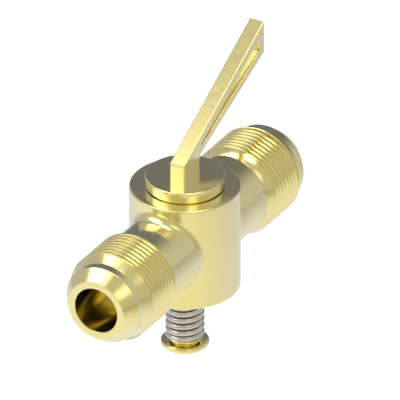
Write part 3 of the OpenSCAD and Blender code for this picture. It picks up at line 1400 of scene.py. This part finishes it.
@dataclass
class Studio:
    """Pale floor, soft boxes, a dark card and the camera.

    The lamps and the card stand on a sphere round the valve. The floor has a pool of light beside the
    inlet, which shows only in the metal. The card is dark at its core and pale at its edge, and a
    little darker than that in a broad upright band.
    """

    soft_boxes: tuple[SoftBox, ...] = (KEY_LIGHT, FRONT_LIGHT, TOP_LIGHT)
    room_tone: Tone = (0.57, 0.57, 0.58)
    reach: float = 300.0
    floor_depth: float = 60.0
    floor_size: float = 4000.0
    floor_tone: Tone = (0.76, 0.76, 0.76)
    floor_roughness: float = 0.9
    floor_gloss: float = 0.1
    floor_glow: float = 0.5
    pool_x: float = -72.0
    pool_y: float = -12.0
    pool_radius: float = 85.0
    pool_fade: float = 215.0
    pool_glow: float = 0.185
    card_azimuths: Sequence[int] = range(-40, 105, 8)
    card_elevations: Sequence[int] = range(-11, 60, 5)
    pale_tone: float = 0.78
    dark_tone: Tone = (0.23, 0.235, 0.29)
    dark_azimuth: float = 18.0
    dark_elevation: float = 17.0
    dark_core: float = 152.0
    dark_edge: float = 276.0
    band_x: float = 40.0
    band_core: float = 40.0
    band_edge: float = 140.0
    band_share: float = 0.86
    camera_azimuth: float = -60.0
    camera_elevation: float = 30.0
    view_width: float = 66.15
    view_right: float = 2.492
    view_up: float = 5.557
    camera_distance: float = 400.0

    def direction(self, azimuth: float, elevation: float) -> Vector:
        """Unit vector towards an azimuth from +X and an elevation, in degrees."""
        turn, tilt = radians(azimuth), radians(elevation)
        return Vector((cos(tilt) * cos(turn), cos(tilt) * sin(turn), sin(tilt)))

    def floor(self) -> None:
        """Lays the pale floor, which the camera sees white, with its pool of light."""
        half = self.floor_size / 2
        low = -self.floor_depth
        mesh = bmesh.new()
        corners = ((-half, -half), (half, -half), (half, half), (-half, half))
        mesh.faces.new([mesh.verts.new(Vector((x, y, low)) * MM) for x, y in corners])
        piece = finished_object(mesh, "floor")
        material, graph, shader = new_material("pale floor")
        shader.inputs["Base Color"].default_value = (*self.floor_tone, 1)
        shader.inputs["Roughness"].default_value = self.floor_roughness
        shader.inputs["Specular IOR Level"].default_value = self.floor_gloss
        x, y, _ = graph.parts(graph.place())
        distance = graph.hypotenuse(x - self.pool_x * MM, y - self.pool_y * MM)
        core, edge = self.pool_radius * MM, self.pool_fade * MM
        pool = graph.ramp(distance, core, edge, self.pool_glow, 0.0, False)
        rays = graph.node("ShaderNodeLightPath").outputs
        mirrored = graph.math("MAXIMUM", rays["Is Glossy Ray"], rays["Is Transmission Ray"])
        seen = graph.math("MULTIPLY", rays["Is Camera Ray"], self.floor_glow)
        shader.inputs["Emission Color"].default_value = (1, 1, 1, 1)
        graph.feed(shader.inputs["Emission Strength"], (mirrored * pool).at_least(seen))
        piece.data.materials.append(material)

    def world(self) -> None:
        """Lights the room evenly."""
        world = bpy.data.worlds.new("studio")
        world.use_nodes = True
        bpy.context.scene.world = world
        background = world.node_tree.nodes["Background"]
        background.inputs["Color"].default_value = (*self.room_tone, 1)
        background.inputs["Strength"].default_value = 1.0

    def dark_card(self) -> None:
        """Stands the dark curved card behind the valve, where it gives the metal its contrast."""
        mesh = bmesh.new()
        rows = []
        for elevation in self.card_elevations:
            towards = [self.direction(azimuth, elevation) for azimuth in self.card_azimuths]
            rows.append([mesh.verts.new(point * self.reach * MM) for point in towards])
        for near, far in zip(rows, rows[1:]):
            for here in range(len(near) - 1):
                mesh.faces.new((near[here], near[here + 1], far[here + 1], far[here]))
        card = finished_object(mesh, "dark card")
        material, graph, shader = new_material("dark card")
        place = graph.place()
        middle = self.direction(self.dark_azimuth, self.dark_elevation) * self.reach * MM
        distance = graph.node("ShaderNodeVectorMath", operation="DISTANCE")
        graph.feed(distance.inputs[0], place)
        graph.feed(distance.inputs[1], middle)
        apart = distance.outputs["Value"]
        aside = graph.math("ABSOLUTE", graph.parts(place)[0] - self.band_x * MM)
        band = graph.ramp(aside, self.band_core * MM, self.band_edge * MM, self.band_share, 1.0, True)
        core, edge = self.dark_core * MM, self.dark_edge * MM
        colour = graph.node("ShaderNodeCombineColor")
        for channel, darkest in zip(colour.inputs, self.dark_tone):
            tone = graph.ramp(apart, core, edge, darkest, self.pale_tone, True)
            graph.feed(channel, tone * band)
        graph.feed(shader.inputs["Base Color"], colour.outputs[0])
        shader.inputs["Roughness"].default_value = 1.0
        card.data.materials.append(material)
        card.visible_camera = False
        card.visible_diffuse = False
        card.visible_shadow = False

    def hang(self, box: SoftBox) -> None:
        """Hangs a soft box so that it faces the valve.

        Args:
            box: The soft box.
        """
        lamp = bpy.data.lights.new(box.name, "AREA")
        lamp.shape = "SQUARE"
        lamp.size = box.side * MM
        lamp.energy = box.radiance * pi * (box.side * MM) ** 2
        box.dress(lamp)
        made = bpy.data.objects.new(box.name, lamp)
        towards = self.direction(box.azimuth, box.elevation)
        turn = towards.to_track_quat("Z", "Y") @ Quaternion((0, 0, 1), radians(box.roll))
        made.location = (towards * self.reach + turn @ Vector((box.offset, 0, 0))) * MM
        made.rotation_euler = turn.to_euler()
        made.visible_camera = False
        bpy.context.scene.collection.objects.link(made)

    def camera(self) -> None:
        """Sets the camera at the photograph's angle."""
        data = bpy.data.cameras.new("camera")
        data.type = "ORTHO"
        data.ortho_scale = self.view_width * MM
        made = bpy.data.objects.new("camera", data)
        tilt, turn = radians(self.camera_elevation), radians(self.camera_azimuth)
        back = Vector((sin(turn) * cos(tilt), -cos(turn) * cos(tilt), sin(tilt)))
        right = Vector((cos(turn), sin(turn), 0))
        up = back.cross(right)
        middle = right * self.view_right + up * self.view_up
        made.location = (middle + back * self.camera_distance) * MM
        made.rotation_euler = back.to_track_quat("Z", "Y").to_euler()
        bpy.context.scene.collection.objects.link(made)
        bpy.context.scene.camera = made

    def build(self) -> None:
        """Sets up the whole studio."""
        self.floor()
        self.world()
        self.dark_card()
        for box in self.soft_boxes:
            self.hang(box)
        self.camera()
        bpy.context.scene.view_settings.view_transform = "Standard"


def mount(name: str) -> dict[str, Any]:
    """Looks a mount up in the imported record."""
    return next(entry for entry in frame["record"]["mounts"] if entry["name"] == name)


def corners_of(node: str) -> tuple[Vector, Vector]:
    """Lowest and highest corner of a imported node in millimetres."""
    low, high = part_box(node)
    return low / MM, high / MM


def fit(piece: bpy.types.Object, node: str, body: str) -> None:
    """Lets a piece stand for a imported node.

    Args:
        piece: The finished piece.
        node: The node that it replaces.
        body: The body that it rides on.
    """
    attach(piece, body)
    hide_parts(node)
    log.info("%s: %d faces, rides on %s", piece.name, len(piece.data.polygons), body)


def main() -> None:
    """Builds the studio and the valve, and reports each piece."""
    logging.basicConfig(level=logging.INFO, format="%(name)s: %(message)s")
    Studio().build()
    flare = mount("outlet_flare")
    bore = mount("outlet_bore")
    port = mount("flow_passage")
    body_low, body_high = corners_of("valve_body")
    plug_low, plug_high = corners_of("plug")
    washer_low, washer_high = corners_of("spring_washer")
    spring_low, spring_high = corners_of("spring")
    cup_low, cup_high = corners_of("spring_retainer")
    body = ValveBody(
        barrel_r=body_high.y,
        top=body_high.z,
        bottom=body_low.z,
        half_length=body_high.x,
        thread_r=flare["dims"]["r_mm"],
        thread_length=flare["dims"]["length_mm"],
        thread_middle=flare["pos_m"][0] / MM,
        bore_r=bore["dims"]["r_mm"],
        bore_depth=bore["dims"]["length_mm"],
        port_r=port["dims"]["r_mm"],
        finish=BrassFinish("turned brass", Marks.TURNED_ROUND_FLOW),
    )
    fit(body.build(), "valve_body", "body")
    plug = LeverPlug(
        barrel_top=body.top,
        barrel_bottom=body.bottom,
        port_r=body.port_r,
        lever_reach=plug_high.x,
        lever_top=plug_high.z,
        lowest=plug_low.z,
        seat_top_r=body.seat_top_r,
        taper_angle=body.taper_angle,
        finish=BrassFinish("polished brass", Marks.POLISHED),
    )
    fit(plug.build(), "plug", "plug")
    washer = SpringWasher(
        radius=washer_high.x,
        low=washer_low.z,
        high=washer_high.z,
        tail_r=plug.tail_r,
        tail_flats=plug.tail_flats,
        finish=BrassFinish("stamped brass", Marks.POLISHED, roughness=0.25),
    )
    fit(washer.build(), "spring_washer", "plug")
    spring = CompressionSpring(
        outer_r=spring_high.x,
        low=spring_low.z,
        height=spring_high.z - spring_low.z,
        finish=WireFinish(),
    )
    fit(spring.build(), "spring", "plug")
    cup = SpringRetainer(
        flange_r=cup_high.x,
        low=cup_low.z,
        high=cup_high.z,
        rivet_depth=plug.rivet_depth,
        finish=BrassFinish("cup brass", Marks.TURNED_ROUND_PLUG, roughness=0.12),
    )
    fit(cup.build(), "spring_retainer", "plug")


if __name__ == "__main__":
    main()
